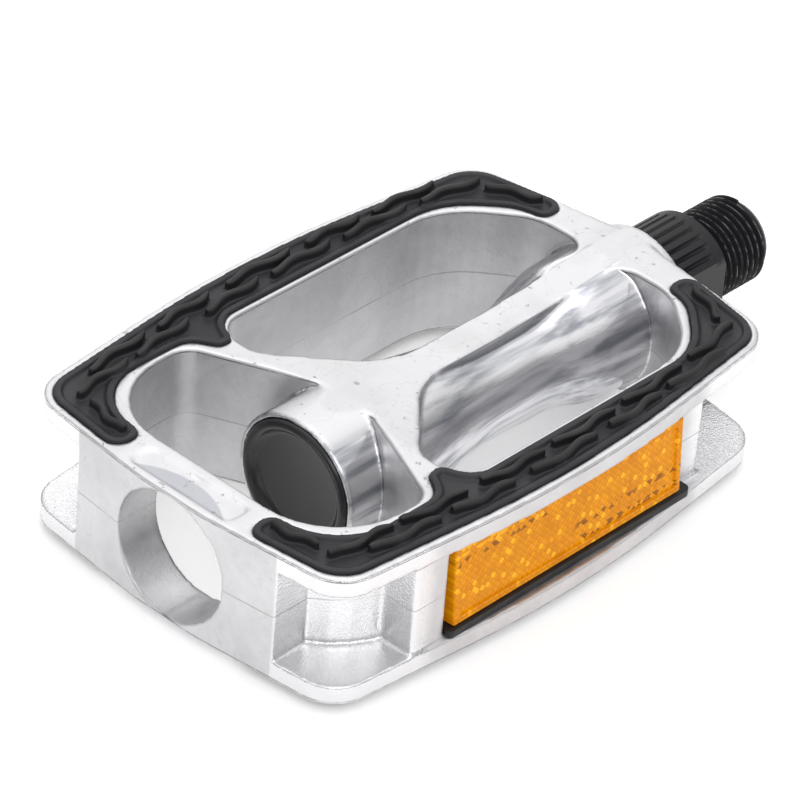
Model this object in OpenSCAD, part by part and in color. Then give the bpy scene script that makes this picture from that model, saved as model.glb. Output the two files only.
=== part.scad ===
// Flat pedal for a bicycle: a cast cage that turns on a spindle with two
// cup-and-cone ball bearings, rubber grips on both faces and a reflector on
// both long sides.
// Frame: the origin is on the spindle axis at the shoulder that meets the crank.
// +X runs out along the thread, +Z is the normal of the top face.

/* [Cage] */
// Length of the cage along the spindle
cage_length = 98; // [96:0.5:100]
// Width of the cage at the middle of its long sides
cage_width = 69; // [67:0.5:71]
// Height of the casting between its two outer faces
cage_height = 22; // [22:0.2:24]
// Distance from the crank shoulder to the middle of the cage
cage_offset = 63; // [62.5:0.1:63.5]
// Thickness of the top and bottom plates
plate_t = 3.2; // [3:0.1:3.4]
// Thickness of the walls round the openings
wall_t = 2; // [1.8:0.1:2.2]
// Thickness of the end wall
end_wall_t = 7.9; // [6:0.1:8]
// Radius of the hole in the end wall
end_hole_r = 10.4; // [9:0.1:10.4]
// Depth of the hollow along the middle of each face
dish_depth = 1.5; // [1:0.1:1.6]

/* [Barrel] */
// Radius of the bearing housings at both ends of the barrel
housing_r = 11.25; // [11.2:0.05:11.4]
// Radius of the barrel at its waist
waist_r = 8.2; // [8:0.1:9]
// Half the width of the flat rib along the barrel
rib_half_w = 2.9; // [2:0.1:4]

/* [Spindle] */
// Outer diameter of the crank thread, 9/16 inch
thread_d = 14.288; // [14.288]
// Length of the thread, with its end chamfer
thread_len = 12; // [11:0.5:14]
// Diameter of the fluted collar
collar_d = 18; // [17.8:0.1:18]
// Size of the wrench flats
flats_w = 15; // [15]
// Length of the shaft behind the crank shoulder
shaft_len = 84; // [83.8:0.1:84.2]
// Diameter of the threaded outboard end
tail_d = 8; // [8]

/* [Bearings] */
// Diameter of a ball, 1/8 inch
ball_d = 3.175; // [3.175]
// Balls in each bearing
ball_count = 12; // [8:1:13]
// Radius of the circle through the ball centres
pitch_r = 7.1; // [7:0.05:7.15]
// Gap between a ball and its races
race_gap = 0.04; // [0.03:0.01:0.06]

/* [Grips] */
// Depth of the pocket that holds a grip
pocket_depth = 1.2; // [0.8:0.1:1.4]
// Height of a grip above the face of the plate
grip_rise = 0.4; // [0.2:0.1:0.6]
// Height of the cleats above the grip
cleat_rise = 1; // [0.6:0.1:1.4]
// Width of a cleat
cleat_w = 1.7; // [1.4:0.1:1.9]

/* [Reflectors] */
// Length of a reflector lens
lens_length = 48.6; // [47:0.1:49]
// Height of a reflector lens
lens_height = 13.2; // [12:0.1:13.6]
// Distance from the spindle axis to the foot of a lens's front face
lens_face = 32.6; // [32:0.1:32.8]
// Length of a reflector holder
holder_length = 51.9; // [51.6:0.1:53]

/* [Hidden] */
round_fn = 96;
arc_step = 12;
chord = 5;
half_h = cage_height / 2;
out_u = 0.2 - cage_length / 2;
in_u = 0.3 + cage_length / 2;
crown_y = cage_width / 2 + 1.15;
gap_h = cage_height - 2 * plate_t;
wall_y = 24.9 + wall_t;

// Bearing places, measured from the crank shoulder
inboard_ball_x = -18.5;
outboard_ball_x = -76;
cup_r = 9.6;
groove_r = ball_d / 2 + race_gap;
collar_r = collar_d / 2;
tail_r = tail_d / 2;
core_r = 5.4;

// Barrel ends, measured from the middle of the cage
ring_u = -23.1;
boss_u = 51.4;

// Outlines as corners [u, y, radius of the rounding]; u runs from the middle of
// the cage towards the crank
plate_corners = [[out_u, -6, 60], [out_u + 2.6, -31, 6.5], [0, -crown_y, 200],
    [in_u - 3.8, -30.4, 7], [in_u, -4, 20], [in_u, 4, 20], [in_u - 3.8, 30.4, 7],
    [0, crown_y, 200], [out_u + 2.6, 31, 6.5], [out_u, 6, 60]];
core_corners = [[-43.2, -wall_y, 16], [33.8, -wall_y, 15], [44.9, -14, 10],
    [44.9, 14, 10], [33.8, wall_y, 15], [-43.2, wall_y, 16]];
bay_corners = [[-40.7, -24.3, 13.5], [-22, -24.3, 4], [-13.4, -5, 6],
    [-13.4, 5, 6], [-22, 24.3, 4], [-40.7, 24.3, 13.5]];
bay_middle = [-27, 0];
window_middle = [13, -14];
window_corners = [[-15.4, -24.9, 5], [33, -24.9, 14], [42.3, -13.5, 9],
    [42.3, -rib_half_w, 4], [-1, -rib_half_w, 14], [-15.4, -16.6, 4]];
grip_corners = [[-46.9, -12.9, 2.4], [-45, -29.7, 5.5], [0, 1.2 - crown_y, 200],
    [44.4, -29.1, 6], [47.6, -12.3, 2.3], [42.7, -12.3, 1.9], [41.8, -17.2, 8],
    [33.6, -25.8, 13], [-13.4, -25.8, 4.5], [-15.8, -20.6, 1.5],
    [-18.2, -20.9, 1.5], [-20.8, -25.2, 4], [-41.2, -25.2, 10.5],
    [-41.5, -12.9, 2]];

// Cleats as [u, y, u, y], both ends, on the grip at -Y
cleat_ends = [[-37.1, -28.2, -25.4, -29.6], [-22, -29.8, -11.3, -30.5],
    [-6.8, -30.8, 5.8, -30.8], [9.9, -30.7, 20.2, -30.3], [23.5, -30, 35.4, -29.1],
    [-42.2, -25.3, -31.9, -26.4], [-29.3, -26.6, -18.2, -27.8],
    [-14, -27.9, -3, -28.5], [0.3, -28.5, 12.1, -28.4], [15.5, -28.2, 27.7, -27.6],
    [31.2, -27.1, 41.7, -25.4], [-44, -15.5, -42.6, -22.5], [45, -15.4, 41.6, -22.8]];

// Reflector places along the cage
lens_u = 0.6;
lens_lean = 0.8;
holder_u = -24.9;
post_out = [-31.8, -25.1, 32];
post_in = [26.4, 31.4, 30.2];
screw_u = [-18, 20];
screw_y = 28.1;

// ---- Helpers ----

function unit(v) = v / norm(v);

// Points of the arc that rounds corner b, between its neighbours a and c
function corner_arc(a, b, c) =
    let (p = [b[0], b[1]],
         u = unit([a[0], a[1]] - p),
         v = unit([c[0], c[1]] - p),
         half = acos(max(-1, min(1, u * v))) / 2,
         centre = p + unit(u + v) * b[2] / sin(half),
         start = p + u * b[2] / tan(half) - centre,
         turn = sign(cross(-u, v)) * (180 - 2 * half),
         from = atan2(start[1], start[0]),
         run = b[2] * abs(turn) * PI / 180,
         steps = max(2, ceil(abs(turn) / arc_step), ceil(run / chord)))
    [for (i = [0 : steps]) centre + b[2] * [cos(from + turn * i / steps),
                                            sin(from + turn * i / steps)]];

// A closed outline with every corner rounded
function rounded(corners) =
    let (n = len(corners))
    [for (i = [0 : n - 1])
        each corner_arc(corners[(i + n - 1) % n], corners[i], corners[(i + 1) % n])];

// Turns a shape that was drawn along +Z to lie along +X
module along_x() {
    rotate([0, 90, 0]) children();
}

// A round bar along X, from x0 to x1
module bar_x(r, x0, x1) {
    translate([x0, 0, 0]) along_x() cylinder(r = r, h = x1 - x0, $fn = round_fn);
}

// Moves a shape from the middle of the cage to its place on the spindle
module at_cage() {
    translate([-cage_offset, 0, 0]) children();
}

// The front shape and its mirror image at the rear
module both_sides() {
    children();
    mirror([0, 1, 0]) children();
}

// The top shape and its mirror image at the bottom
module both_faces() {
    children();
    mirror([0, 0, 1]) children();
}

module slab(corners, z0, z1) {
    translate([0, 0, z0]) linear_extrude(z1 - z0) polygon(rounded(corners));
}

module block(low, high) {
    translate(low) cube(high - low);
}

// ---- Cage casting ----

// Radius of the barrel at a share t of the way from a housing to the waist
function flare_r(t) = waist_r + (housing_r - waist_r) * (1 + cos(180 * t)) / 2;

module barrel_skin() {
    steps = 20;
    flare_out = [-12, 15];
    flare_in = [37, 21];
    profile = [
        [0, ring_u],
        [housing_r - 0.3, ring_u],
        [housing_r, ring_u + 0.3],
        for (i = [0 : steps])
            [flare_r(i / steps), flare_out[0] + (flare_out[1] - flare_out[0]) * i / steps],
        for (i = [steps : -1 : 0])
            [flare_r(i / steps), flare_in[0] + (flare_in[1] - flare_in[0]) * i / steps],
        [housing_r, boss_u - 0.3],
        [housing_r - 0.3, boss_u],
        [0, boss_u]];
    along_x() rotate_extrude($fn = round_fn) polygon(profile);
}

module barrel_bores() {
    // Mouth for the seal, cup seat, middle bore, cup seat, mouth for the cap
    bar_x(10.2, -14.2, 0);
    bar_x(cup_r, -22.3, -14);
    bar_x(6.7, -75, -20);
    bar_x(cup_r, -88, -72.2);
    bar_x(10.4, -88, -82.4);
}

module dish() {
    // A shallow hollow along the middle of a face, faded out towards both ends
    long_r = 260;
    across_r = 85;
    reach = 29.5;
    translate([12, 0, half_h - dish_depth])
        intersection() {
            translate([-reach, 0, across_r]) along_x()
                cylinder(r = across_r, h = 2 * reach, $fn = round_fn);
            translate([0, 40, long_r]) rotate([90, 0, 0])
                cylinder(r = long_r, h = 80, $fn = round_fn);
            block([-reach - 1, -20, -1], [reach + 1, 20, 6]);
        }
}

module scoop() {
    // A shallow panel on the end bridge
    slab([[-47.4, -10, 1.5], [-42.3, -10, 1.5], [-42.3, 10, 1.5], [-47.4, 10, 1.5]],
        half_h - 0.35, half_h + 1);
}

// An opening through both faces, a little narrower at mid height, where the two
// halves of the mould met
module opening(corners, middle) {
    draft = 0.975;
    both_faces() translate([middle[0], middle[1], 0])
        linear_extrude(half_h + 1, scale = 1 / draft) scale(draft)
            translate([-middle[0], -middle[1]]) polygon(rounded(corners));
}

module plates_and_walls() {
    difference() {
        union() {
            both_faces() slab(plate_corners, half_h - plate_t, half_h);
            slab(core_corners, -half_h + 1, half_h - 1);
            intersection() {
                slab(plate_corners, -half_h + 1, half_h - 1);
                union() {
                    block([-60, -19.8, -half_h], [out_u + end_wall_t, 19.8, half_h]);
                    both_sides() {
                        block([post_out[0], -post_out[2], -half_h],
                            [post_out[1], -24, half_h]);
                        block([post_in[0], -post_in[2], -half_h],
                            [post_in[1], -24, half_h]);
                    }
                }
            }
        }
        opening(bay_corners, bay_middle);
        both_sides() opening(window_corners, window_middle);
    }
}

module cage_body() {
    color([0.86, 0.86, 0.88])
    difference() {
        at_cage()
            difference() {
                union() {
                    plates_and_walls();
                    barrel_skin();
                    block([-14, -rib_half_w, -half_h + 0.4], [45, rib_half_w, half_h - 0.4]);
                }
                both_faces() {
                    dish();
                    scoop();
                    both_sides() slab(grip_corners, half_h - pocket_depth, half_h + 1);
                }
                bar_x(end_hole_r, out_u - 3, -38);
            }
        barrel_bores();
        // Holes for the reflector screws, under the bottom grips
        both_sides() for (u = screw_u)
            translate([u - cage_offset, -screw_y, -half_h - 1]) {
                cylinder(r = 1.3, h = 8, $fn = 24);
                cylinder(r = 2.4, h = 1 + pocket_depth + 1, $fn = 24);
            }
    }
}

// ---- Spindle ----

module spindle_blank() {
    thread_r = thread_d / 2;
    difference() {
        along_x() rotate_extrude($fn = round_fn)
            polygon([[0, thread_len], [thread_r - 1, thread_len],
                [thread_r, thread_len - 1], [thread_r, 0], [collar_r - 0.8, 0],
                [collar_r, -0.8],
                [collar_r, -14.4], [8.2, -14.4], [8.2, inboard_ball_x + groove_r],
                [pitch_r, inboard_ball_x + groove_r], [core_r, inboard_ball_x],
                [core_r, -62], [tail_r, -67], [tail_r, 0.5 - shaft_len],
                [tail_r - 0.5, -shaft_len], [0, -shaft_len]]);
        ball_groove(inboard_ball_x);
    }
}

module ball_groove(x) {
    translate([x, 0, 0]) along_x() rotate_extrude($fn = round_fn)
        translate([pitch_r, 0]) circle(r = groove_r, $fn = 48);
}

module spindle() {
    flute_count = 32;
    flute_r = 0.5;
    color([0.16, 0.16, 0.17])
    difference() {
        spindle_blank();
        // Flutes round the collar
        for (i = [0 : flute_count - 1])
            rotate([360 * i / flute_count, 0, 0])
                translate([-11.9, 0, collar_r])
                    along_x() cylinder(r = flute_r, h = 9.9, $fn = 16);
        // Wrench flats
        both_sides() block([-11.2, flats_w / 2, -12], [0, 12, 12]);
        // Slot for the lock washer's key
        block([-shaft_len - 1, -0.9, tail_r - 1], [-71, 0.9, tail_r + 1]);
    }
}

// ---- Bearings ----

// A pressed cup; its web faces the middle of the spindle
module cup(web) {
    x0 = web * 3.8;
    along_x() rotate_extrude($fn = round_fn)
        difference() {
            polygon([[6.7, x0], [cup_r, x0], [cup_r, -web * 2.7],
                [pitch_r + groove_r + 0.02, -web * 2.7], [pitch_r + groove_r + 0.02, 0],
                [pitch_r, web * groove_r], [6.7, web * groove_r]]);
            translate([pitch_r, 0]) circle(r = groove_r, $fn = 48);
        }
}

module inboard_cup() {
    color([0.5, 0.5, 0.52]) translate([inboard_ball_x, 0, 0]) cup(-1);
}

module outboard_cup() {
    color([0.5, 0.5, 0.52]) translate([outboard_ball_x, 0, 0]) cup(1);
}

module ball_ring(x) {
    color([0.75, 0.76, 0.78])
    for (i = [0 : ball_count - 1])
        rotate([360 * i / ball_count, 0, 0])
            translate([x, 0, pitch_r]) sphere(d = ball_d, $fn = 32);
}

module inboard_balls() {
    ball_ring(inboard_ball_x);
}

module outboard_balls() {
    ball_ring(outboard_ball_x);
}

module outboard_cone() {
    x = outboard_ball_x;
    color([0.42, 0.42, 0.44])
    difference() {
        along_x() rotate_extrude($fn = round_fn)
            polygon([[tail_r, x - 3.4], [7.6, x - 3.4], [8, x - 3], [8, x - groove_r],
                [pitch_r, x - groove_r], [core_r, x], [core_r, x + 2.6],
                [tail_r, x + 2.6]]);
        ball_groove(x);
    }
}

module lock_washer() {
    x = outboard_ball_x - 3.4;
    color([0.7, 0.7, 0.72]) {
        difference() {
            bar_x(6.6, x - 1, x);
            bar_x(tail_r, x - 2, x + 1);
        }
        block([x - 1, -0.8, tail_r - 0.9], [x, 0.8, tail_r + 0.5]);
    }
}

module lock_nut() {
    x = outboard_ball_x - 4.4;
    color([0.68, 0.68, 0.7])
    difference() {
        translate([x - 2.9, 0, 0]) along_x() cylinder(d = 12.7, h = 2.9, $fn = 6);
        bar_x(tail_r, x - 4, x + 1);
    }
}

// ---- Seal and cap ----

module inboard_seal() {
    color([0.1, 0.1, 0.1])
    along_x() rotate_extrude($fn = round_fn)
        polygon([[collar_r + 0.06, -14.2], [10.2, -14.2], [10.2, -12.2],
            [9.9, -11.8], [collar_r + 0.06, -11.8]]);
}

module dust_cap() {
    face = ring_u - cage_offset;
    color([0.09, 0.09, 0.09])
    along_x() rotate_extrude($fn = round_fn)
        polygon([[0, face + 0.9], [0, face + 0.1], [8, face - 0.1], [8.6, face - 0.5],
            [10.2, face - 0.5], [10.4, face - 0.3], [10.4, face + 3.5],
            [9.2, face + 3.5], [9.2, face + 1.1], [8, face + 0.9]]);
}

// ---- Grips ----

// A straight cleat with round ends
module cleat(ends, z0, z1) {
    start = [ends[0], ends[1]];
    run = [ends[2], ends[3]] - start;
    r = cleat_w / 2;
    translate([start[0], start[1], z0]) rotate([0, 0, atan2(run[1], run[0])])
        linear_extrude(z1 - z0) {
            translate([0, -r]) square([norm(run), cleat_w]);
            circle(r = r, $fn = 24);
            translate([norm(run), 0]) circle(r = r, $fn = 24);
        }
}

module grip() {
    color([0.13, 0.13, 0.14])
    at_cage() {
        slab(grip_corners, half_h - pocket_depth, half_h + grip_rise);
        for (ends = cleat_ends)
            cleat(ends, half_h + grip_rise - 0.2, half_h + grip_rise + cleat_rise);
    }
}

module top_front_grip() {
    grip();
}

module top_rear_grip() {
    mirror([0, 1, 0]) grip();
}

module bottom_front_grip() {
    mirror([0, 0, 1]) grip();
}

module bottom_rear_grip() {
    mirror([0, 1, 0]) mirror([0, 0, 1]) grip();
}

// ---- Reflectors ----

module lens() {
    seat_y = lens_face - 3.4;
    color([0.93, 0.58, 0.05])
    at_cage()
        translate([lens_u - lens_length / 2, 0, 0])
            rotate([90, 0, 90])
                linear_extrude(lens_length)
                    polygon([[-seat_y, -lens_height / 2], [-seat_y, lens_height / 2],
                        [lens_lean - lens_face, lens_height / 2],
                        [-lens_face, -lens_height / 2]]);
}

module holder() {
    frame_y = lens_face - 2.4;
    lip_y = lens_face + 0.5;
    floor_y = lens_face - 3.4;
    u0 = holder_u;
    u1 = lens_u + lens_length / 2 + 0.2;
    lip_u = holder_u + holder_length;
    half_gap = gap_h / 2;
    color([0.12, 0.12, 0.12])
    difference() {
        at_cage()
            difference() {
                union() {
                    block([u0, -frame_y, -half_gap], [u1, -wall_y, half_gap]);
                    translate([0, 0, -half_gap])
                        linear_extrude(half_gap - lens_height / 2)
                            polygon(rounded([[u0, -wall_y, 0.3], [u0, -lip_y, 0.8],
                                [lip_u, -lip_y, 1.2],
                                [lip_u, -post_in[2] - 0.1, 0.8],
                                [u1, -post_in[2] - 0.1, 0.1], [u1, -wall_y, 0.3]]));
                }
                block([lens_u - lens_length / 2, -40, -lens_height / 2],
                    [lens_u + lens_length / 2, -floor_y, lens_height / 2]);
            }
        for (u = screw_u)
            translate([u - cage_offset, -screw_y, -half_h]) cylinder(r = 1.2, h = 8, $fn = 24);
    }
}

module screws() {
    // The points stop short of the lenses
    shank = half_h - pocket_depth - lens_height / 2 - 0.2;
    color([0.3, 0.3, 0.32])
    for (u = screw_u)
        translate([u - cage_offset, -screw_y, -half_h + pocket_depth]) {
            cylinder(r = 2.3, h = 1, $fn = 24);
            cylinder(r = 1.2, h = shank, $fn = 24);
        }
}

module front_reflector_lens() {
    lens();
}

module rear_reflector_lens() {
    mirror([0, 1, 0]) lens();
}

module front_reflector_holder() {
    holder();
}

module rear_reflector_holder() {
    mirror([0, 1, 0]) holder();
}

module front_reflector_screws() {
    screws();
}

module rear_reflector_screws() {
    mirror([0, 1, 0]) screws();
}

cage_body();
spindle();
inboard_cup();
outboard_cup();
inboard_balls();
outboard_balls();
outboard_cone();
lock_washer();
lock_nut();
inboard_seal();
dust_cap();
top_front_grip();
top_rear_grip();
bottom_front_grip();
bottom_rear_grip();
front_reflector_lens();
rear_reflector_lens();
front_reflector_holder();
rear_reflector_holder();
front_reflector_screws();
rear_reflector_screws();
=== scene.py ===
"""Looks of a flat bicycle pedal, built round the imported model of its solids.

Every piece is in metres in the frame of the solids: the origin is on the spindle
axis at the shoulder that meets the crank, +X runs out along the crank thread and
+Z is the normal of the top face.
"""

import math

import bmesh
import bpy
from bpy.props import FloatProperty, FloatVectorProperty, IntProperty, PointerProperty
from mathutils import Matrix, Vector


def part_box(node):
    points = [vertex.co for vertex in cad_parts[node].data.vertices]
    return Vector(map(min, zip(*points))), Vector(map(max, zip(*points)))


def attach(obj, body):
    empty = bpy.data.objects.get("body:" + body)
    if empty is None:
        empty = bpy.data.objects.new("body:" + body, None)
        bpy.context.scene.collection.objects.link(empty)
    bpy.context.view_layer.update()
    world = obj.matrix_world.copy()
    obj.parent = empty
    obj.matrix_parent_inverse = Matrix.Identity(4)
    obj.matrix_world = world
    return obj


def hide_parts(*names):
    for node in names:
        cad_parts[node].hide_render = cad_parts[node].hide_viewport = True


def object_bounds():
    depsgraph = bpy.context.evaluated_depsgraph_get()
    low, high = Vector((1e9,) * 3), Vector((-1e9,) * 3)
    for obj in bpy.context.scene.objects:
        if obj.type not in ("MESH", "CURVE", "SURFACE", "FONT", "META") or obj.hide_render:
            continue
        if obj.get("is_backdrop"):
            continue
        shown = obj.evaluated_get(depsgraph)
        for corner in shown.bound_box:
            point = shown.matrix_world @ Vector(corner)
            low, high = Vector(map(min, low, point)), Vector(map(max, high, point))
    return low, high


bl_info = {
    "name": "Flat Pedal Looks",
    "version": (1, 0, 0),
    "blender": (4, 5, 0),
    "location": "View3D > Sidebar > Pedal",
    "description": "Builds the finished surfaces of a flat pedal round its solids",
    "category": "Object",
}

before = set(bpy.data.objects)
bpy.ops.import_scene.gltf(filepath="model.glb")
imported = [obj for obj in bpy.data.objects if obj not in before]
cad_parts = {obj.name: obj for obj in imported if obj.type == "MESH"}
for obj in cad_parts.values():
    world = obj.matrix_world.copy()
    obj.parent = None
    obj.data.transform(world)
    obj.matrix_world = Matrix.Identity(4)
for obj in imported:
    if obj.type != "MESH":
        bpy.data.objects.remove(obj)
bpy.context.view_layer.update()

MM = 0.001
# The cage: its end, its middle along the spindle and its top face
CAGE_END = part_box("cage_body")[0].x
CAGE_MIDDLE = -63 * MM
PLATE_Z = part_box("cage_body")[1].z
# How far the cleats stand above a grip
CLEAT_RISE = 1.0 * MM
CAP_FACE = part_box("dust_cap")[0].x
LENS_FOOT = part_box("front_reflector_lens")[0].z
# The spindle: the thread's crest, the fluted collar and its wrench flats
CREST_R = 7.144 * MM
COLLAR_R = 9.0 * MM
COLLAR_BACK = -11.2 * MM
FLAT_Y = 7.5 * MM


# ---- Working on meshes ----


def start_clean():
    """Leaves edit mode and selects nothing."""
    if bpy.context.mode != "OBJECT":
        bpy.ops.object.mode_set(mode="OBJECT")
    bpy.ops.object.select_all(action="DESELECT")


def work_on(piece):
    """Makes a piece the only selected one and the active one."""
    start_clean()
    piece.select_set(True)
    bpy.context.view_layer.objects.active = piece


def edit(piece, kind="FACE"):
    work_on(piece)
    bpy.ops.object.mode_set(mode="EDIT")
    bpy.ops.mesh.select_mode(type=kind)
    bpy.ops.mesh.select_all(action="DESELECT")


def leave():
    bpy.ops.object.mode_set(mode="OBJECT")


def pick(kind, wanted):
    """Selects the faces, edges or vertices of the mesh in edit mode that pass a test."""
    shape = bmesh.from_edit_mesh(bpy.context.edit_object.data)
    bpy.ops.mesh.select_mode(type=kind)
    bpy.ops.mesh.select_all(action="DESELECT")
    for element in {"FACE": shape.faces, "EDGE": shape.edges, "VERT": shape.verts}[kind]:
        if wanted(element):
            element.select_set(True)
    shape.select_flush_mode()
    bmesh.update_edit_mesh(bpy.context.edit_object.data)


def named(name):
    """Names the object that was just added, and its mesh."""
    piece = bpy.context.active_object
    piece.name = name
    piece.data.name = name
    return piece


def apply_modifier(piece, kind, **values):
    work_on(piece)
    modifier = piece.modifiers.new(kind.title(), kind)
    for key, value in values.items():
        setattr(modifier, key, value)
    bpy.ops.object.modifier_apply(modifier=modifier.name)


def bake_place(piece):
    work_on(piece)
    bpy.ops.object.transform_apply(location=True, rotation=True, scale=True)


def outward(piece, merge=0.0):
    """Merges doubles where asked and turns every face outwards."""
    edit(piece)
    bpy.ops.mesh.select_all(action="SELECT")
    if merge:
        bpy.ops.mesh.remove_doubles(threshold=merge)
    bpy.ops.mesh.normals_make_consistent(inside=False)
    leave()


def smooth(piece, degrees=40):
    work_on(piece)
    bpy.ops.object.shade_smooth_by_angle(angle=math.radians(degrees))


def joined(pieces, name):
    start_clean()
    for piece in pieces:
        piece.select_set(True)
    bpy.context.view_layer.objects.active = pieces[0]
    bpy.ops.object.join()
    return named(name)


def copy_of(piece, name):
    twin = bpy.data.objects.new(name, piece.data.copy())
    twin.data.name = name
    bpy.context.scene.collection.objects.link(twin)
    return twin


def solid_copy(node, name):
    """A merged copy of a node's mesh, free to be shaped."""
    twin = copy_of(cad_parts[node], name)
    outward(twin, merge=0.002 * MM)
    return twin


def mirrored(piece, name, across):
    """A copy mirrored across the planes named, such as "y" or "yz"."""
    twin = copy_of(piece, name)
    twin.scale = [-1 if axis in across else 1 for axis in "xyz"]
    bake_place(twin)
    outward(twin)
    return twin


def finish_piece(piece, body, slot, material, *nodes):
    """Paints a finished piece and hangs it on its body."""
    piece.data.materials.clear()
    piece.data.materials.append(material)
    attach(piece, body)
    if nodes:
        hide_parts(*nodes)


def turned(name, profile, segments):
    """A solid of revolution about X: profile holds (x, radius) pairs, in metres."""
    first_x, first_r = profile[0]
    start_clean()
    bpy.ops.mesh.primitive_circle_add(vertices=segments, radius=max(first_r, 0.01 * MM),
                                      fill_type="NOTHING", location=(first_x, 0, 0),
                                      rotation=(0, math.pi / 2, 0))
    piece = named(name)
    bake_place(piece)
    edit(piece, "EDGE")
    bpy.ops.mesh.select_all(action="SELECT")
    last_x, last_r = first_x, max(first_r, 0.01 * MM)
    for x, radius in profile[1:]:
        radius = max(radius, 0.01 * MM)
        bpy.ops.mesh.extrude_region_move(TRANSFORM_OT_translate={"value": (x - last_x, 0, 0)})
        share = radius / last_r
        bpy.ops.transform.resize(value=(1, share, share), center_override=(x, 0, 0))
        last_x, last_r = x, radius
    pick("EDGE", lambda e: e.is_boundary)
    bpy.ops.mesh.fill_holes(sides=0)
    leave()
    outward(piece, merge=0.001 * MM)
    return piece


# ---- Materials ----


class Paint:
    """A material with short calls for its nodes."""

    def __init__(self, name, **shader):
        self.material = bpy.data.materials.new(name)
        self.material.use_nodes = True
        self.tree = self.material.node_tree
        self.shader = self.tree.nodes["Principled BSDF"]
        for key, value in shader.items():
            self.shader.inputs[key.replace("_", " ")].default_value = value
        self.place = self.node("ShaderNodeTexCoord").outputs["Object"]

    def node(self, kind, inputs=None, **values):
        made = self.tree.nodes.new(kind)
        for key, value in values.items():
            setattr(made, key, value)
        for key, value in (inputs or {}).items():
            if isinstance(value, bpy.types.NodeSocket):
                self.tree.links.new(value, made.inputs[key])
            else:
                made.inputs[key].default_value = value
        return made

    def math(self, operation, a, b=0.0):
        return self.node("ShaderNodeMath", {0: a, 1: b}, operation=operation).outputs[0]

    def times(self, first, *others):
        """The product of several values."""
        for other in others:
            first = self.math("MULTIPLY", first, other)
        return first

    def gap(self, a, b):
        """How far apart two values are."""
        return self.math("ABSOLUTE", self.math("SUBTRACT", a, b))

    def length_of(self, a, b):
        """The length of the vector with parts a and b."""
        return self.math("SQRT", self.math("ADD", self.math("MULTIPLY", a, a),
                                           self.math("MULTIPLY", b, b)))

    def noise(self, scale, detail=2.0, stretch=None, roughness=0.5):
        """Noise with a scale in cycles per metre, stretched along the axes."""
        place = self.place
        if stretch:
            place = self.node("ShaderNodeMapping", {"Vector": place, "Scale": stretch}).outputs[0]
        return self.node("ShaderNodeTexNoise", {"Vector": place, "Scale": scale, "Detail": detail,
                                                "Roughness": roughness}).outputs["Fac"]

    def ramp(self, value, low, high, low_out=0.0, high_out=1.0, smooth_step=True):
        return self.node("ShaderNodeMapRange",
                         {"Value": value, "From Min": low, "From Max": high,
                          "To Min": low_out, "To Max": high_out},
                         interpolation_type="SMOOTHSTEP" if smooth_step else "LINEAR").outputs[0]

    def blend(self, share, first, second):
        """A colour between two, each a colour or a socket."""
        made = self.node("ShaderNodeMix", data_type="RGBA")
        for index, value in ((0, share), (6, first), (7, second)):
            if isinstance(value, bpy.types.NodeSocket):
                self.tree.links.new(value, made.inputs[index])
            elif index:
                made.inputs[index].default_value = (*value[:3], 1)
            else:
                made.inputs[index].default_value = value
        return made.outputs[2]

    def mix(self, share, first, second):
        """A number between two."""
        return self.node("ShaderNodeMix", {0: share, 2: first, 3: second},
                         data_type="FLOAT").outputs[0]

    def axes(self, vector=None):
        return self.node("ShaderNodeSeparateXYZ", {0: vector or self.place}).outputs

    def put(self, socket, value):
        self.tree.links.new(value, self.shader.inputs[socket])

    def bump(self, *layers):
        """Layers of (height socket, distance in metres, strength)."""
        normal = None
        for height, distance, strength in layers:
            inputs = {"Height": height, "Distance": distance, "Strength": strength}
            if normal is not None:
                inputs["Normal"] = normal
            normal = self.node("ShaderNodeBump", inputs).outputs[0]
        self.put("Normal", normal)


def cage_zones(paint):
    """Masks for the ground faces, the polished barrel, the cast walls and the corner pockets."""
    x, y, z = paint.axes()
    normal = paint.axes(paint.node("ShaderNodeNewGeometry").outputs["Normal"])
    height = paint.math("ABSOLUTE", z)
    across = paint.math("ABSOLUTE", y)
    upright = paint.math("MULTIPLY", normal[2], paint.math("SIGN", z))
    outward_y = paint.math("MULTIPLY", normal[1], paint.math("SIGN", y))
    radius = paint.length_of(y, z)
    # Inboard the barrel comes up beside the spine, and only the spine is ground
    flare = paint.times(paint.ramp(x, CAGE_MIDDLE + 16 * MM, CAGE_MIDDLE + 18 * MM),
                        paint.ramp(x, CAGE_MIDDLE + 42 * MM, CAGE_MIDDLE + 43.5 * MM, 1, 0))
    beside = paint.times(flare, paint.ramp(radius, 11.3 * MM, 11.5 * MM, 1, 0),
                         paint.ramp(across, 2.5 * MM, 2.9 * MM))
    ground = paint.times(paint.ramp(height, PLATE_Z - 2.2 * MM, PLATE_Z - 1.9 * MM),
                         paint.ramp(upright, 0.72, 0.9), paint.math("SUBTRACT", 1.0, beside))
    barrel = paint.times(paint.ramp(radius, 11.5 * MM, 11.8 * MM, 1, 0),
                         paint.ramp(x, CAP_FACE + 0.3 * MM, CAP_FACE + 0.8 * MM))
    off_ground = paint.math("SUBTRACT", 1.0, ground)
    polished = paint.times(barrel, off_ground)
    cast = paint.math("SUBTRACT", off_ground, polished)
    pocket = paint.times(cast, paint.ramp(outward_y, -0.25, -0.05),
                         paint.ramp(across, 19.4 * MM, 19.9 * MM),
                         paint.ramp(paint.gap(x, CAGE_MIDDLE), 27 * MM, 31 * MM))
    return ground, polished, cast, pocket


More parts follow.
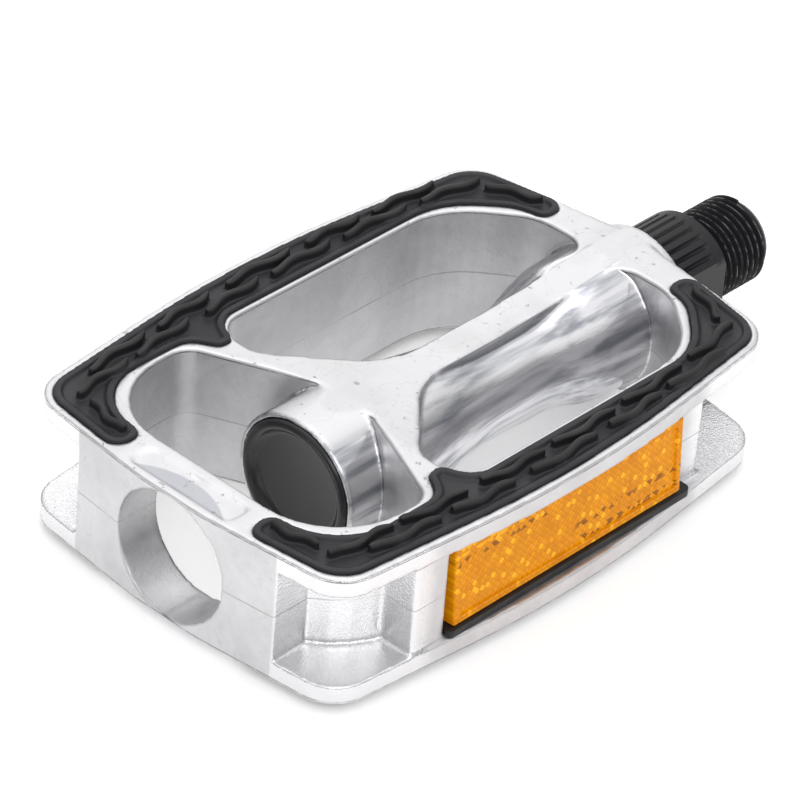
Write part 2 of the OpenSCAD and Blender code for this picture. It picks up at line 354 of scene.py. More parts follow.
def scoop_facet_shade(paint, ground):
    """The mask of the hollow facet of the scoop, on the outboard bridge, where a painted shade
    darkens the ground colour.
    """
    x, y, _ = paint.axes()
    inboard = paint.math("SUBTRACT", x, CAGE_END)
    reach = paint.length_of(paint.math("ADD", inboard, 9.2 * MM), y)
    return paint.times(ground, paint.ramp(inboard, 1.35 * MM, 1.5 * MM),
                       paint.ramp(reach, 13.9 * MM, 14.3 * MM, 1, 0),
                       paint.ramp(paint.math("ABSOLUTE", y), 9.6 * MM, 9.9 * MM, 1, 0))


def cage_paint(props):
    """Die-cast aluminium: ground faces, satin cast walls, a polished barrel."""
    paint = Paint("cast_aluminium", Metallic=1.0)
    ground, polished, cast, pocket = cage_zones(paint)
    height = paint.math("ABSOLUTE", paint.axes()[2])
    clouds = paint.noise(90, 4)
    patches = paint.noise(420, 6, roughness=0.65)
    grain = paint.noise(2300, 3)
    coarse_grain = paint.noise(3300, 2)
    scratches = paint.times(paint.noise(1500, 3, stretch=(0.05, 1, 1)),
                            paint.noise(1900, 3, stretch=(1, 0.06, 1)))
    pits = paint.ramp(paint.noise(700, 3, roughness=0.6), 0.29, 0.34)
    veins = paint.ramp(paint.gap(paint.noise(150, 5), 0.5), 0.0, 0.012)
    streaks = paint.noise(560, 4, stretch=(0.07, 1, 1))
    # Colour of the walls, with brighter corner pockets
    wall_tone = paint.times(paint.ramp(patches, 0.25, 0.7, 0.72, 1.0),
                            paint.ramp(clouds, 0.3, 0.65, 0.7, 1.0),
                            paint.ramp(veins, 0, 1, 0.85, 1), paint.ramp(pits, 0, 1, 0.8, 1))
    wall = paint.blend(wall_tone, (0.42, 0.415, 0.42), props.wall_color)
    wall = paint.blend(paint.times(pocket, 0.7), wall, (0.88, 0.88, 0.89))
    # Colour of the ground faces and of the barrel
    ground_tone = paint.times(paint.ramp(clouds, 0.3, 0.6, 0.72, 1), pits,
                              paint.ramp(veins, 0, 1, 0.8, 1))
    top = paint.blend(ground_tone, (0.50, 0.49, 0.49), props.ground_color)
    color = paint.blend(ground, wall, top)
    # Painted reflections on the polished barrel: dark blue-grey bands along X, following the polish
    # streaks
    barrel_painted_reflection = paint.blend(paint.ramp(streaks, 0.3, 0.62), (0.34, 0.355, 0.39),
                              props.barrel_color)
    color = paint.blend(polished, color, barrel_painted_reflection)
    # A thin dark line just below the rim of each plate, on the cast walls
    rim_line = paint.times(paint.ramp(paint.gap(height, PLATE_Z - 0.75 * MM),
                                      0.05 * MM, 0.13 * MM, 1, 0),
                           cast, paint.ramp(patches, 0.35, 0.55, 0.25, 0.8))
    # The parting line at mid height
    parting = paint.times(paint.ramp(height, 0.04 * MM, 0.16 * MM, 1, 0),
                          paint.math("SUBTRACT", 1.0, ground),
                          paint.ramp(clouds, 0.4, 0.6, 0.1, 0.5))
    color = paint.blend(paint.math("MAXIMUM", rim_line, parting), color, (0.16, 0.155, 0.15))
    # Painted shade on the tilted facet of the scoop: a darker blue-grey
    color = paint.blend(paint.times(scoop_facet_shade(paint, ground), 0.5), color, (0.36, 0.37, 0.42))
    paint.put("Base Color", color)
    rough = paint.mix(ground, paint.ramp(patches, 0.3, 0.7, 0.4, 0.5),
                      paint.ramp(clouds, 0.3, 0.7, 0.4, 0.52))
    rough = paint.mix(polished, rough, paint.ramp(streaks, 0.35, 0.7, 0.26, 0.1))
    rough = paint.mix(pocket, rough, 0.2)
    paint.put("Roughness", rough)
    paint.bump((paint.times(grain, cast), 0.05 * MM, 0.7),
               (paint.times(coarse_grain, pocket), 0.1 * MM, 0.9),
               (paint.times(patches, cast), 0.09 * MM, 0.7),
               (paint.times(clouds, cast), 0.3 * MM, 0.5),
               (paint.times(streaks, polished), 0.05 * MM, 0.6),
               (paint.times(scratches, ground), 0.05 * MM, 0.7),
               (paint.times(pits, ground), 0.05 * MM, 0.8))
    return paint.material


def rubber_paint(props):
    """Moulded black rubber with a fine grain and specks of dust; the raised cleats get a darker
    colour as painted shade.
    """
    paint = Paint("grip_rubber", Specular_IOR_Level=0.42)
    height = paint.math("ABSOLUTE", paint.axes()[2])
    raised = paint.ramp(height, PLATE_Z, PLATE_Z + 0.9 * MM)
    clouds = paint.noise(160, 4)
    specks = paint.ramp(paint.noise(2300, 2), 0.74, 0.8)
    # Painted shade: the raised cleats take a darker colour than the floor
    tone = paint.blend(raised, props.floor_color, props.shaded_cleat_color)
    tone = paint.blend(paint.times(specks, 0.35), tone, (0.1, 0.1, 0.1))
    paint.put("Base Color", tone)
    paint.put("Roughness", paint.ramp(clouds, 0.3, 0.7, 0.42, 0.6))
    paint.bump((paint.noise(5200, 2), 0.02 * MM, 0.5), (clouds, 0.08 * MM, 0.5))
    return paint.material


def steel_paint(name, color, rough, grain=0.5):
    """Turned steel with fine rings round the X axis."""
    paint = Paint(name, Metallic=1.0)
    rings = paint.noise(4200, 2, stretch=(1, 0.03, 0.03))
    clouds = paint.noise(300, 4)
    paint.put("Base Color", paint.blend(paint.ramp(clouds, 0.35, 0.7), color,
                                        [min(1, c * 1.35) for c in color]))
    paint.put("Roughness", paint.ramp(clouds, 0.3, 0.7, rough * 0.85, rough * 1.2))
    paint.bump((rings, 0.012 * MM, grain), (clouds, 0.03 * MM, 0.4))
    return paint.material


def black_oxide_paint(props):
    """Black oxide over turned steel, bright in specks where the thread has worn."""
    paint = Paint("black_oxide", Specular_IOR_Level=0.35)
    x, y, z = paint.axes()
    radius = paint.length_of(y, z)
    crest = paint.times(paint.ramp(radius, CREST_R - 0.16 * MM, CREST_R - 0.02 * MM),
                        paint.ramp(x, 0.1 * MM, 0.2 * MM))
    worn = paint.times(crest, paint.ramp(paint.noise(900, 4), 0.42, 0.66))
    specks = paint.ramp(paint.noise(1800, 3), 0.7, 0.76)
    bare = paint.math("MAXIMUM", worn, paint.times(specks, 0.3))
    paint.put("Base Color", paint.blend(bare, props.oxide_color, (0.30, 0.30, 0.31)))
    paint.put("Roughness", paint.mix(bare, 0.42, 0.3))
    paint.bump((paint.noise(3600, 3), 0.02 * MM, 0.6), (paint.noise(420, 3), 0.05 * MM, 0.4))
    return paint.material


def plastic_paint(name, color, rough, grain):
    """Moulded plastic with soft flow marks."""
    paint = Paint(name, Specular_IOR_Level=0.5)
    clouds = paint.noise(220, 3)
    paint.put("Base Color", paint.blend(paint.ramp(clouds, 0.3, 0.7), color,
                                        [c * 1.5 for c in color]))
    paint.put("Roughness", paint.ramp(clouds, 0.3, 0.7, rough * 0.8, rough * 1.3))
    paint.bump((paint.noise(4000, 2), 0.01 * MM, grain), (clouds, 0.05 * MM, grain))
    return paint.material


def amber_paint(props):
    """Clear amber plastic over prism cells: each diamond cell has its own tone, one half of it in
    painted shade, with painted glints and a painted glow.
    """
    paint = Paint("amber_plastic", Coat_Weight=0.05, Coat_Roughness=0.08,
                  Specular_IOR_Level=0.08, Roughness=0.3)
    x, _, z = paint.axes()
    along_a = paint.math("DIVIDE", paint.math("ADD", x, z), props.cell)
    along_b = paint.math("DIVIDE", paint.math("SUBTRACT", x, z), props.cell)
    place = paint.node("ShaderNodeCombineXYZ", {0: paint.math("FLOOR", along_a),
                                                1: paint.math("FLOOR", along_b)}).outputs[0]
    luck = paint.node("ShaderNodeTexWhiteNoise", {"Vector": place},
                      noise_dimensions="3D").outputs["Value"]
    seam = paint.ramp(paint.math("MINIMUM", paint.math("PINGPONG", along_a, 0.5),
                                 paint.math("PINGPONG", along_b, 0.5)), 0.02, 0.16)
    # Painted shade: one triangle of each diamond cell is darker
    facet = paint.math("GREATER_THAN", paint.math("FRACT", along_a),
                       paint.math("FRACT", along_b))
    body = paint.times(paint.ramp(luck, 0.0, 1.0, 0.62, 1.0, False),
                       paint.mix(facet, 0.82, 1.0), paint.mix(seam, 0.6, 1.0),
                       paint.ramp(paint.noise(190, 3), 0.3, 0.7, 0.72, 1.0))
    color = paint.blend(body, props.deep_color, props.amber_color)
    # Painted glints: bright cells, a few anywhere, most of them high on the outboard half
    upper = paint.times(paint.ramp(x, CAGE_MIDDLE - 9 * MM, CAGE_MIDDLE - 4 * MM, 1, 0),
                        paint.ramp(z, 4.4 * MM, 4.8 * MM))
    glint = paint.math("MAXIMUM", paint.ramp(luck, 0.93, 0.95),
                       paint.times(upper, paint.ramp(luck, 0.45, 0.5)))
    color = paint.blend(paint.times(glint, 0.6), color, props.glint_color)
    # A thin darker line along the foot of the panel
    step = paint.gap(z, LENS_FOOT + 0.95 * MM)
    color = paint.blend(paint.ramp(step, 0.05 * MM, 0.14 * MM, 0.6, 0), color, props.deep_color)
    # Cells that miss the light: two rows low on the inboard half, one high outboard
    off_low = paint.gap(paint.gap(z, -3.2 * MM), 1.3 * MM)
    low_rows = paint.times(paint.ramp(x, CAGE_MIDDLE + 1 * MM, CAGE_MIDDLE + 3 * MM),
                           paint.ramp(off_low, 0.45 * MM, 0.5 * MM, 1, 0))
    off_high = paint.gap(z, 3.7 * MM)
    high_row = paint.times(paint.ramp(x, CAGE_MIDDLE - 3 * MM, CAGE_MIDDLE - 1 * MM, 1, 0),
                           paint.ramp(off_high, 0.45 * MM, 0.5 * MM, 1, 0))
    dark = paint.times(paint.math("ADD", low_rows, high_row), paint.ramp(luck, 0.3, 0.34, 1, 0))
    color = paint.blend(paint.times(dark, 0.75), color, (0.17, 0.055, 0.01))
    paint.put("Base Color", color)
    # Painted glow: the lens emits its own colour, standing in for the light it sends back
    paint.put("Emission Color", color)
    paint.shader.inputs["Emission Strength"].default_value = 0.2
    return paint.material


# ---- Settings ----


def length(name, description, default):
    return FloatProperty(name=name, description=description, default=default, unit="LENGTH",
                         precision=5)


def tint(name, description, default):
    return FloatVectorProperty(name=name, description=description, default=default, min=0, max=1,
                               size=3, subtype="COLOR")


class CageSettings(bpy.types.PropertyGroup):
    """Sizes and colours of the cage."""

    fineness: length("Fineness", "Edge length of the cage's mesh", 0.36 * MM)
    softening: IntProperty(name="Softening", description="Passes that round its edges",
                           default=3, min=0, max=20)
    ground_color: tint("Ground faces", "Colour of the ground faces", (0.80, 0.80, 0.81))
    wall_color: tint("Walls", "Colour of the cast walls", (0.72, 0.712, 0.722))
    barrel_color: tint("Barrel", "Colour of the polished barrel", (0.86, 0.86, 0.88))


class GripSettings(bpy.types.PropertyGroup):
    """Sizes and colours of the rubber grips."""

    fineness: length("Fineness", "Edge length of a grip's mesh", 0.17 * MM)
    bead_width: length("Bead width", "Width of the raised border", 0.95 * MM)
    bead_height: length("Bead height", "Depth of the floor below the border", 0.5 * MM)
    wave: length("Wave", "Swing of a cleat to each side", 0.42 * MM)
    cleat_width: length("Cleat width", "Width of a cleat", 1.2 * MM)
    floor_color: tint("Floor", "Colour of the floor", (0.021, 0.0215, 0.024))
    # Painted shade: the darker colour given to the raised cleats
    shaded_cleat_color: tint("Cleats", "Colour of the cleats", (0.012, 0.012, 0.0135))


class SpindleSettings(bpy.types.PropertyGroup):
    """Sizes and colours of the spindle."""

    pitch: length("Thread pitch", "Distance between two turns of the thread", 1.27 * MM)
    depth: length("Thread depth", "Depth of the thread", 0.72 * MM)
    flutes: IntProperty(name="Flutes", description="Flutes round the collar", default=32, min=8,
                        max=60)
    flute_depth: length("Flute depth", "Depth of a flute", 0.7 * MM)
    oxide_color: tint("Black oxide", "Colour of the black oxide", (0.013, 0.013, 0.015))


class ReflectorSettings(bpy.types.PropertyGroup):
    """Sizes and colours of the reflectors."""

    cell: length("Cell", "Width of a prism cell", 1.12 * MM)
    relief: length("Relief", "Height of a prism cell", 0.05 * MM)
    border: length("Border", "Width of the plain border of a lens", 0.9 * MM)
    lean: length("Lean", "How far the top of a lens's face is set back", 0.8 * MM)
    amber_color: tint("Amber", "Colour of the lens", (0.83, 0.335, 0.0015))
    deep_color: tint("Deep amber", "Colour between the cells", (0.47, 0.125, 0.001))
    glint_color: tint("Glint", "Colour of the brightest facets", (1.0, 0.52, 0.02))


class StageSettings(bpy.types.PropertyGroup):
    """The floor and the light."""

    floor_color: tint("Floor", "Colour of the floor", (0.93, 0.93, 0.93))
    sky: FloatProperty(name="Sky", description="Strength of the soft light all round",
                       default=1.0, min=0)


# ---- Pieces ----


class PEDAL_OT_cage(bpy.types.Operator):
    """Builds the cast cage with rounded edges"""

    bl_idname = "pedal.cage"
    bl_label = "Cage"

    def execute(self, context):
        props = context.scene.pedal_cage
        cage = solid_copy("cage_body", "cage")
        apply_modifier(cage, "REMESH", mode="VOXEL", voxel_size=props.fineness)
        apply_modifier(cage, "SMOOTH", factor=0.5, iterations=props.softening)
        apply_modifier(cage, "DECIMATE", ratio=0.46)
        smooth(cage, 180)
        finish_piece(cage, "cage", "cage_casting", cage_paint(props), "cage_body")
        return {"FINISHED"}


def cleat_places(node):
    """Both ends of every cleat of a grip, read from the flat tops of its solid's cleats."""
    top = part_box(node)[1].z
    shape = bmesh.new()
    shape.from_mesh(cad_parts[node].data)
    bmesh.ops.remove_doubles(shape, verts=shape.verts, dist=0.002 * MM)
    flat = {f for f in shape.faces
            if f.normal.z > 0.99 and f.calc_center_median().z > top - 0.05 * MM}
    places = []
    while flat:
        island, edge = set(), [flat.pop()]
        while edge:
            face = edge.pop()
            island.update(v.co.copy().freeze() for v in face.verts)
            near = {f for v in face.verts for f in v.link_faces if f in flat}
            flat -= near
            edge.extend(near)
        points = list(island)
        pairs = ((a, b) for a in points for b in points)
        start, end = max(pairs, key=lambda pair: (pair[0] - pair[1]).length)
        if start.x > end.x:
            start, end = end, start
        places.append((start, end))
    shape.free()
    places.sort(key=lambda p: (round(p[0].x, 5), round(p[0].y, 5)))
    return places


def wavy_cleat(props):
    """One cleat, a metre long along X: a blunt start, a waving back and a pointed end."""
    rings = 28
    height, rounding = 1.8 * MM, 0.42 * MM
    waves, first_phase = 1.35, 1.2
    start_share, end_share = 0.06, 0.14

    def lengthwise(edge):
        return abs(edge.verts[0].co.x - edge.verts[1].co.x) > 0.5

    start_clean()
    bpy.ops.mesh.primitive_cube_add(size=1, location=(0.5, 0, 0))
    cleat = named("cleat")
    cleat.scale = (1, props.cleat_width, height)
    bake_place(cleat)
    edit(cleat, "EDGE")
    pick("EDGE", lambda e: lengthwise(e) and e.verts[0].co.z > 0)
    bpy.ops.mesh.bevel(offset=rounding, segments=3)
    pick("EDGE", lengthwise)
    bpy.ops.mesh.subdivide(number_cuts=rings - 1)
    for i in range(rings + 1):
        s = i / rings
        swing = props.wave * math.sin(2 * math.pi * waves * s + first_phase)
        blunt = min(1, 0.7 + s / start_share * 0.3)
        tail = max(0, (s - 1 + end_share) / end_share)
        taper = 1 - 0.55 * tail ** 1.3
        pick("VERT", lambda v, s=s: abs(v.co.x - s) < 0.2 / rings)
        bpy.ops.transform.resize(value=(1, blunt * taper, 1), center_override=(s, 0, 0))
        bpy.ops.transform.translate(value=(0, swing, 0))
    leave()
    return cleat


class PEDAL_OT_grips(bpy.types.Operator):
    """Builds the four rubber grips with their beads and wavy cleats"""

    bl_idname = "pedal.grips"
    bl_label = "Grips"

    def execute(self, context):
        props = context.scene.pedal_grips
        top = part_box("top_front_grip")[1].z - CLEAT_RISE
        grip = solid_copy("top_front_grip", "top_front_rubber")
        edit(grip)
        bpy.ops.mesh.select_all(action="SELECT")
        bpy.ops.mesh.bisect(plane_co=(0, 0, top - 0.04 * MM), plane_no=(0, 0, 1),
                            clear_outer=True, use_fill=True)

        def on_top(face):
            return face.normal.z > 0.9 and face.calc_center_median().z > top - 0.1 * MM

        pick("FACE", on_top)
        bpy.ops.mesh.dissolve_faces()
        pick("FACE", on_top)
        bpy.ops.mesh.inset(thickness=props.bead_width, use_even_offset=True)
        bpy.ops.mesh.inset(thickness=0.4 * MM, depth=-props.bead_height, use_even_offset=True)
        leave()
        master = wavy_cleat(props)
        end_gap = 0.35 * MM
        cleats = []
        for start, end in cleat_places("top_front_grip"):
            cleat = copy_of(master, "cleat")
            run = end - start
            cleat.scale = (run.length - 2 * end_gap, 1, 1)
            cleat.rotation_euler.z = math.atan2(run.y, run.x)
            cleat.location = (start.x + end_gap, start.y, top + 0.05 * MM)
            bake_place(cleat)
            cleats.append(cleat)
        bpy.data.objects.remove(master)
        grip = joined([grip, *cleats], "top_front_rubber")
        apply_modifier(grip, "REMESH", mode="VOXEL", voxel_size=props.fineness)
        apply_modifier(grip, "SMOOTH", factor=0.5, iterations=3)
        apply_modifier(grip, "DECIMATE", ratio=0.6)
        smooth(grip, 180)
        rubber = rubber_paint(props)
        others = [mirrored(grip, "top_rear_rubber", "y"),
                  mirrored(grip, "bottom_front_rubber", "z"),
                  mirrored(grip, "bottom_rear_rubber", "yz")]
        for piece in (grip, *others):
            node = piece.name.replace("rubber", "grip")
            finish_piece(piece, "cage", "grip_rubber", rubber, node)
        return {"FINISHED"}


def threaded_stub(props):
    """The crank thread: a chamfered core with a ridge wound round it."""
    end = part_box("spindle")[1].x
    core_r = CREST_R - props.depth
    core = turned("thread_core", [(-0.2 * MM, 0), (-0.2 * MM, core_r), (end - 0.9 * MM, core_r),
                                  (end - 0.15 * MM, core_r - 0.5 * MM), (end, core_r - 0.75 * MM),
                                  (end, 0)], 96)
    turns = int((end - 1.0 * MM) / props.pitch)
    start_clean()
    bpy.ops.mesh.primitive_circle_add(vertices=6, radius=props.depth * 1.02, fill_type="NOTHING",
                                      location=(0.75 * MM, 0, core_r), rotation=(math.pi / 2, 0, 0))
    ridge = named("thread_ridge")
    ridge.scale = (0.72, 1, 1)
    bake_place(ridge)
    edit(ridge, "VERT")
    pick("VERT", lambda v: v.co.z > core_r + 0.3 * props.depth)
    bpy.ops.transform.resize(value=(0.3, 1, 1), center_override=(0.75 * MM, 0, core_r))
    bpy.ops.transform.translate(value=(0, 0, props.depth * 0.12))
    leave()
    apply_modifier(ridge, "SCREW", axis="X", angle=2 * math.pi, screw_offset=props.pitch,
                   iterations=turns, steps=72, render_steps=72, use_merge_vertices=False)
    edit(ridge, "EDGE")
    pick("EDGE", lambda e: e.is_boundary)
    bpy.ops.mesh.fill_holes(sides=0)
    leave()
    outward(ridge, merge=0.0005 * MM)
    edit(ridge, "VERT")
    shape = bmesh.from_edit_mesh(ridge.data)
    for vert in shape.verts:
        across = math.hypot(vert.co.y, vert.co.z)
        limit = min(CREST_R, CREST_R - (vert.co.x - end + 1.3 * MM) * 0.9)
        if across > limit:
            vert.co.y *= limit / across
            vert.co.z *= limit / across
    bmesh.update_edit_mesh(ridge.data)
    leave()
    return joined([core, ridge], "thread")


def fluted_collar(props):
    """The collar: flutes that run out in slopes, and two wrench flats."""
    segments = props.flutes * 2
    front = -2.0 * MM
    collar = turned("collar", [(COLLAR_BACK, 0), (COLLAR_BACK, COLLAR_R), (front, COLLAR_R),
                               (-0.7 * MM, COLLAR_R), (0, COLLAR_R - 0.7 * MM), (0, 0)], segments)
    edit(collar)

    def in_flute(face):
        centre = face.calc_center_median()
        if not COLLAR_BACK < centre.x < front or math.hypot(centre.y, centre.z) < COLLAR_R * 0.9:
            return False
        step = math.atan2(centre.z, centre.y) / (2 * math.pi / segments)
        return math.floor(step) % 2 == 0

    pick("FACE", in_flute)
    bpy.ops.mesh.inset(thickness=0.03 * MM, use_individual=True)
    bpy.ops.mesh.extrude_faces_move(
        TRANSFORM_OT_shrink_fatten={"value": -props.flute_depth, "use_even_offset": False})
    pick("VERT", lambda v: v.co.x > front - 0.3 * MM and v.co.x < front - 0.01 * MM
         and math.hypot(v.co.y, v.co.z) < COLLAR_R - 0.3 * props.flute_depth)
    bpy.ops.transform.translate(value=(-1.3 * MM, 0, 0))
    for side in (-1, 1):
        bpy.ops.mesh.select_all(action="SELECT")
        bpy.ops.mesh.bisect(plane_co=(0, side * FLAT_Y, 0), plane_no=(0, side, 0),
                            clear_outer=True, use_fill=True)
    leave()
    outward(collar)
    return collar


class PEDAL_OT_spindle(bpy.types.Operator):
    """Builds the spindle with its thread, its fluted collar and its shaft"""

    bl_idname = "pedal.spindle"
    bl_label = "Spindle"

    def execute(self, context):
        props = context.scene.pedal_spindle
        shaft = solid_copy("spindle", "shaft")
        edit(shaft)
        bpy.ops.mesh.select_all(action="SELECT")
        bpy.ops.mesh.bisect(plane_co=(COLLAR_BACK, 0, 0), plane_no=(1, 0, 0), clear_outer=True,
                            use_fill=True)
        leave()
        spindle = joined([shaft, threaded_stub(props), fluted_collar(props)], "crank_spindle")
        smooth(spindle, 32)
        finish_piece(spindle, "spindle", "black_steel", black_oxide_paint(props), "spindle")
        return {"FINISHED"}


class PEDAL_OT_cap(bpy.types.Operator):
    """Builds the gloss dust cap"""

    bl_idname = "pedal.cap"
    bl_label = "Dust cap"

    def execute(self, context):
        rim = CAP_FACE
        cap = turned("bearing_cap", [
            (rim + 1.25 * MM, 0), (rim + 1.25 * MM, 7.5 * MM), (rim + 1.1 * MM, 8.0 * MM),
            (rim + 0.5 * MM, 8.6 * MM), (rim + 0.15 * MM, 8.85 * MM), (rim, 9.15 * MM),
            (rim, 9.6 * MM), (rim + 0.1 * MM, 10.0 * MM), (rim + 0.4 * MM, 10.3 * MM),
            (rim + 1.0 * MM, 10.38 * MM), (rim + 3.9 * MM, 10.38 * MM), (rim + 3.9 * MM, 9.2 * MM),
            (rim + 2.1 * MM, 9.2 * MM), (rim + 2.0 * MM, 0)], 128)
        smooth(cap, 50)
        finish_piece(cap, "cage", "cap_plastic",
                     plastic_paint("cap_black", (0.012, 0.012, 0.013), 0.2, 0.15), "dust_cap")
        return {"FINISHED"}


def prism_lens(props, node, name):
    """A lens block with a plain border round a panel of prism cells."""
    rounding, step_width, step_depth = 0.3 * MM, 0.12 * MM, 0.3 * MM
    low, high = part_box(node)
    lean = math.atan2(props.lean, high.z - low.z)
    # Room behind and below for the block to lean in
    high.y -= props.lean
    low.z += 0.17 * MM
    start_clean()
    bpy.ops.mesh.primitive_cube_add(size=1, location=(low + high) / 2)
    block = named(name)
    block.scale = high - low
    bake_place(block)
    edit(block)
    pick("EDGE", lambda e: True)
    bpy.ops.mesh.bevel(offset=rounding, segments=2)
    pick("FACE", lambda f: f.normal.y < -0.99 and f.calc_area() > 100 * MM * MM)
    bpy.ops.mesh.inset(thickness=props.border)
    bpy.ops.mesh.inset(thickness=step_width, depth=-step_depth)
    bpy.ops.mesh.delete(type="ONLY_FACE")
    leave()
    inset = props.border + rounding + step_width
    wide, tall = high.x - low.x - 2 * inset, high.z - low.z - 2 * inset
    start_clean()
    bpy.ops.mesh.primitive_grid_add(
        x_subdivisions=round(wide / props.cell), y_subdivisions=round(tall / props.cell), size=1,
        location=((low.x + high.x) / 2, low.y + step_depth, (low.z + high.z) / 2),
        rotation=(math.pi / 2, 0, 0))
    panel = named("prisms")
    panel.scale = (wide, tall, 1)
    bake_place(panel)
    edit(panel)
    bpy.ops.mesh.select_all(action="SELECT")
    bpy.ops.mesh.poke(offset=props.relief)
    leave()
    lens = joined([block, panel], name)
    # The face leans back over its foot
    foot = Vector((0, low.y, low.z))
    lens.rotation_euler.x = -lean
    lens.location = foot - Matrix.Rotation(-lean, 3, "X") @ foot
    bake_place(lens)
    return lens


def softened(node, name, width):
    """A copy of a solid with its edges rounded."""
    piece = solid_copy(node, name)
    edit(piece)
    bpy.ops.mesh.select_all(action="SELECT")
    bpy.ops.mesh.dissolve_limited(angle_limit=math.radians(1))
    leave()
    apply_modifier(piece, "BEVEL", width=width, segments=2, limit_method="ANGLE",
                   angle_limit=math.radians(35))
    smooth(piece, 35)
    return piece


class PEDAL_OT_reflectors(bpy.types.Operator):
    """Builds both reflectors: lens and holder"""

    bl_idname = "pedal.reflectors"
    bl_label = "Reflectors"

    def execute(self, context):
        props = context.scene.pedal_reflectors
        amber = amber_paint(props)
        black = plastic_paint("holder_black", (0.006, 0.006, 0.0065), 0.5, 0.4)
        lens = prism_lens(props, "front_reflector_lens", "front_lens")
        finish_piece(mirrored(lens, "rear_lens", "y"), "cage", "amber_lens", amber,
                     "rear_reflector_lens")
        finish_piece(lens, "cage", "amber_lens", amber, "front_reflector_lens")
        for side in ("front", "rear"):
            holder = softened(side + "_reflector_holder", side + "_holder", 0.2 * MM)
            finish_piece(holder, "cage", "holder_plastic", black, side + "_reflector_holder")
        return {"FINISHED"}


class PEDAL_OT_inside(bpy.types.Operator):
    """Paints the bearings, the seal and the screws"""

    bl_idname = "pedal.inside"
    bl_label = "Bearings, seal and screws"

    def execute(self, context):
        race = steel_paint("ground_race", (0.50, 0.50, 0.52), 0.25)
        ball = steel_paint("ball_steel", (0.72, 0.72, 0.74), 0.12, grain=0.1)
        zinc = steel_paint("zinc_plate", (0.62, 0.63, 0.66), 0.32)
        seal = plastic_paint("seal_black", (0.014, 0.014, 0.015), 0.6, 0.5)
        looks = {"inboard_cup": race, "outboard_cup": race, "outboard_cone": race,
                 "inboard_balls": ball, "outboard_balls": ball, "lock_washer": zinc,
                 "lock_nut": zinc, "inboard_seal": seal, "front_reflector_screws": zinc,
                 "rear_reflector_screws": zinc}
        for node, material in looks.items():
            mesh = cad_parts[node].data
            mesh.materials.clear()
            mesh.materials.append(material)
        return {"FINISHED"}


def soft_light(name, place, aim, size, power):
    lamp = bpy.data.lights.new(name, "AREA")
    lamp.shape = "RECTANGLE"
    lamp.size, lamp.size_y = size
    lamp.energy = power
    body = bpy.data.objects.new(name, lamp)
    body.location = place
    body.rotation_euler = (Vector(place) - Vector(aim)).to_track_quat("Z", "Y").to_euler()
    bpy.context.scene.collection.objects.link(body)


def studio_world(props):
    """Soft light from all round, dim near the horizon so that bare metal shows its shape."""
    world = bpy.data.worlds.new("studio")
    world.use_nodes = True
    nodes, links = world.node_tree.nodes, world.node_tree.links
    sky = nodes["Background"]
    sky.inputs["Strength"].default_value = props.sky
    place = nodes.new("ShaderNodeTexCoord")
    split = nodes.new("ShaderNodeSeparateXYZ")
    ramp = nodes.new("ShaderNodeValToRGB")
    links.new(place.outputs["Generated"], split.inputs[0])
    links.new(split.outputs[2], ramp.inputs[0])
    links.new(ramp.outputs[0], sky.inputs["Color"])
    stops = ((0.0, 0.5), (0.12, 0.3), (0.3, 0.42), (0.55, 0.92), (1.0, 1.0))
    while len(ramp.color_ramp.elements) < len(stops):
        ramp.color_ramp.elements.new(0.5)
    for element, (at, tone) in zip(ramp.color_ramp.elements, stops):
        element.position = at
        element.color = (tone, tone, tone * 1.01, 1)
    return world


def long_lens_camera():
    """The camera, far off with a long lens, above the outboard front corner."""
    camera = bpy.data.cameras.new("camera")
    camera.lens = 241
    camera.sensor_width = 36
    camera.clip_start, camera.clip_end = 0.05, 20
    right, up, back = ((0.6873, -0.7233, 0.0661), (0.3852, 0.4402, 0.8110),
                       (-0.6157, -0.5320, 0.5812))
    place = Matrix.Translation((-0.5440, -0.4143, 0.4574))
    body = bpy.data.objects.new("camera", camera)
    body.matrix_world = place @ Matrix((right, up, back)).transposed().to_4x4()
    bpy.context.scene.collection.objects.link(body)
    return body


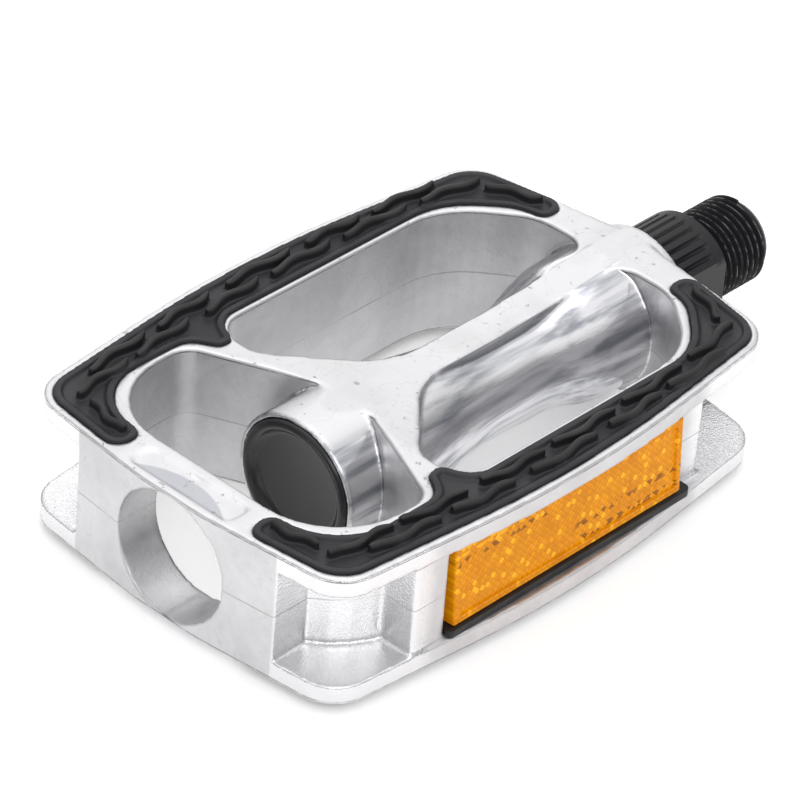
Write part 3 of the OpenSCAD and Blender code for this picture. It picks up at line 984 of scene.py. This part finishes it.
class PEDAL_OT_stage(bpy.types.Operator):
    """Sets the floor, the light and the camera"""

    bl_idname = "pedal.stage"
    bl_label = "Floor, light and camera"

    def execute(self, context):
        props = context.scene.pedal_stage
        low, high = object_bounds()
        middle = (low + high) / 2
        start_clean()
        bpy.ops.mesh.primitive_plane_add(size=6, location=(middle.x, 0, low.z))
        floor = named("floor")
        paint = Paint("floor_white", Roughness=0.6)
        tone = paint.blend(paint.noise(3, 2), props.floor_color,
                           [c * 0.985 for c in props.floor_color])
        paint.put("Base Color", tone)
        paint.put("Emission Color", tone)
        paint.shader.inputs["Emission Strength"].default_value = 0.3
        floor.data.materials.append(paint.material)
        floor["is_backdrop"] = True
        context.scene.world = studio_world(props)
        soft_light("key", (-0.35, -0.55, 0.55), middle, (0.5, 0.35), 0.9)
        soft_light("top", (0.05, 0.1, 0.7), middle, (0.7, 0.5), 0.9)
        soft_light("rim", (0.35, 0.45, 0.25), middle, (0.3, 0.3), 0.25)
        context.scene.camera = long_lens_camera()
        context.scene.view_settings.view_transform = "Standard"
        return {"FINISHED"}


class PEDAL_PT_parts(bpy.types.Panel):
    """Lists the pieces of the pedal and their settings."""

    bl_label = "Flat Pedal"
    bl_idname = "PEDAL_PT_parts"
    bl_space_type = "VIEW_3D"
    bl_region_type = "UI"
    bl_category = "Pedal"

    def draw(self, context):
        layout = self.layout
        for operator, settings in STEPS:
            box = layout.box()
            box.operator(operator.bl_idname)
            if settings:
                group = getattr(context.scene, settings)
                for prop in group.bl_rna.properties:
                    if prop.identifier not in ("rna_type", "name"):
                        box.prop(group, prop.identifier)


STEPS = (
    (PEDAL_OT_cage, "pedal_cage"),
    (PEDAL_OT_grips, "pedal_grips"),
    (PEDAL_OT_spindle, "pedal_spindle"),
    (PEDAL_OT_cap, None),
    (PEDAL_OT_reflectors, "pedal_reflectors"),
    (PEDAL_OT_inside, None),
    (PEDAL_OT_stage, "pedal_stage"),
)
GROUPS = {
    "pedal_cage": CageSettings,
    "pedal_grips": GripSettings,
    "pedal_spindle": SpindleSettings,
    "pedal_reflectors": ReflectorSettings,
    "pedal_stage": StageSettings,
}
CLASSES = (*GROUPS.values(), *(step[0] for step in STEPS), PEDAL_PT_parts)


def register():
    for cls in CLASSES:
        bpy.utils.register_class(cls)
    for name, group in GROUPS.items():
        setattr(bpy.types.Scene, name, PointerProperty(type=group))


def unregister():
    for name in GROUPS:
        delattr(bpy.types.Scene, name)
    for cls in reversed(CLASSES):
        bpy.utils.unregister_class(cls)


def main():
    register()
    bpy.ops.pedal.cage()
    bpy.ops.pedal.grips()
    bpy.ops.pedal.spindle()
    bpy.ops.pedal.cap()
    bpy.ops.pedal.reflectors()
    bpy.ops.pedal.inside()
    bpy.ops.pedal.stage()


if __name__ == "__main__":
    main()
